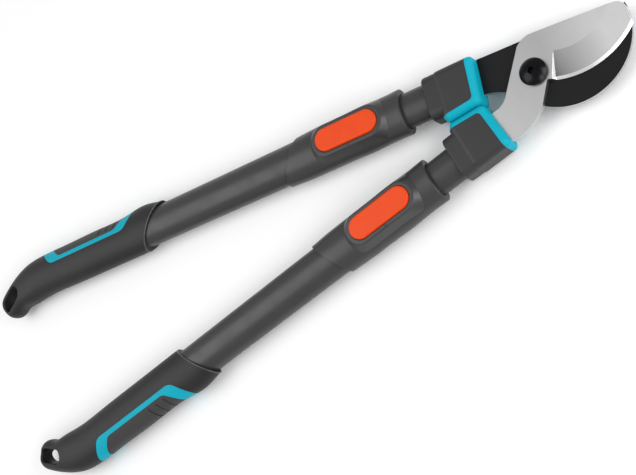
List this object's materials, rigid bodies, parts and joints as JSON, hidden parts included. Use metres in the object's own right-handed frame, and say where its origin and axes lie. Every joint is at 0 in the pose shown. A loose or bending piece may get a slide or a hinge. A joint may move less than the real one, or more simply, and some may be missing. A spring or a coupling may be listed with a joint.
{
  "type": "bypass loppers",
  "caption": "Telescopic bypass loppers: a curved cutting blade passes a hook blade, with long two-part handles whose length is set with push-button locks.",
  "frame": {"origin": "middle of the footprint of the shut, retracted tool, on the surface it lies on", "axes": "+X along the middle line towards the blade tips, +Y towards the upper handle, which carries the hook blade, +Z out of the face with the buttons and the bolt head"},
  "size_m": [0.5186, 0.1712, 0.0257],
  "materials": {
    "bright_blade_steel": "fine ground, bright",
    "coated_blade_steel": "matt black non-stick coating",
    "black_fastener": "satin black oxide",
    "plain_steel": "zinc plated",
    "coated_tube": "satin dark grey powder coat",
    "moulded_plastic": "fine-textured moulding, dark grey",
    "glide_plastic": "smooth black",
    "soft_cyan": "soft overmoulding, cyan",
    "soft_pad": "matt soft overmoulding, dark grey",
    "orange_plastic": "satin orange"
  },
  "bodies": {
    "hook_arm": {"hook_blade": "coated_blade_steel", "pivot_bolt": "black_fastener", "pivot_washer": "plain_steel", "pivot_nut": "black_fastener", "upper_neck_housing": "moulded_plastic", "upper_bumper": "soft_cyan", "upper_tang_rivets": "plain_steel", "upper_inner_tube": "coated_tube", "upper_tube_glide": "glide_plastic"},
    "blade_arm": {"cutting_blade": "bright_blade_steel", "lower_neck_housing": "moulded_plastic", "lower_bumper": "soft_cyan", "lower_tang_rivets": "plain_steel", "lower_inner_tube": "coated_tube", "lower_tube_glide": "glide_plastic"},
    "upper_handle": {"upper_outer_tube": "coated_tube", "upper_lock_collar": "moulded_plastic", "upper_collar_screw": "black_fastener", "upper_button_spring": "plain_steel", "upper_grip_core": "moulded_plastic", "upper_grip_inlay": "soft_cyan", "upper_grip_pad": "soft_pad"},
    "upper_button": {"upper_lock_button": "orange_plastic", "upper_latch_pin": "plain_steel"},
    "lower_handle": {"lower_outer_tube": "coated_tube", "lower_lock_collar": "moulded_plastic", "lower_collar_screw": "black_fastener", "lower_button_spring": "plain_steel", "lower_grip_core": "moulded_plastic", "lower_grip_inlay": "soft_cyan", "lower_grip_pad": "soft_pad"},
    "lower_button": {"lower_lock_button": "orange_plastic", "lower_latch_pin": "plain_steel"}
  },
  "joints": [
    {"name": "blade_pivot", "type": "hinge", "parent": "hook_arm", "child": "blade_arm", "pos_m": [0.19832, 0.001, 0.0108], "axis": [0, 0, 1], "range_deg": [0, 65]},
    {"name": "upper_telescope", "type": "slide", "parent": "hook_arm", "child": "upper_handle", "axis": [-0.9907, 0.1357, 0], "range_m": [0, 0.15]},
    {"name": "upper_button_press", "type": "slide", "parent": "upper_handle", "child": "upper_button", "axis": [0, 0, -1], "range_m": [0, 0.003], "stiffness_N_per_m": 600, "springref_m": -0.002, "deforming": ["upper_button_spring"]},
    {"name": "lower_telescope", "type": "slide", "parent": "blade_arm", "child": "lower_handle", "axis": [-0.9907, -0.1357, 0], "range_m": [0, 0.15]},
    {"name": "lower_button_press", "type": "slide", "parent": "lower_handle", "child": "lower_button", "axis": [0, 0, -1], "range_m": [0, 0.003], "stiffness_N_per_m": 600, "springref_m": -0.002, "deforming": ["lower_button_spring"]}
  ]
}
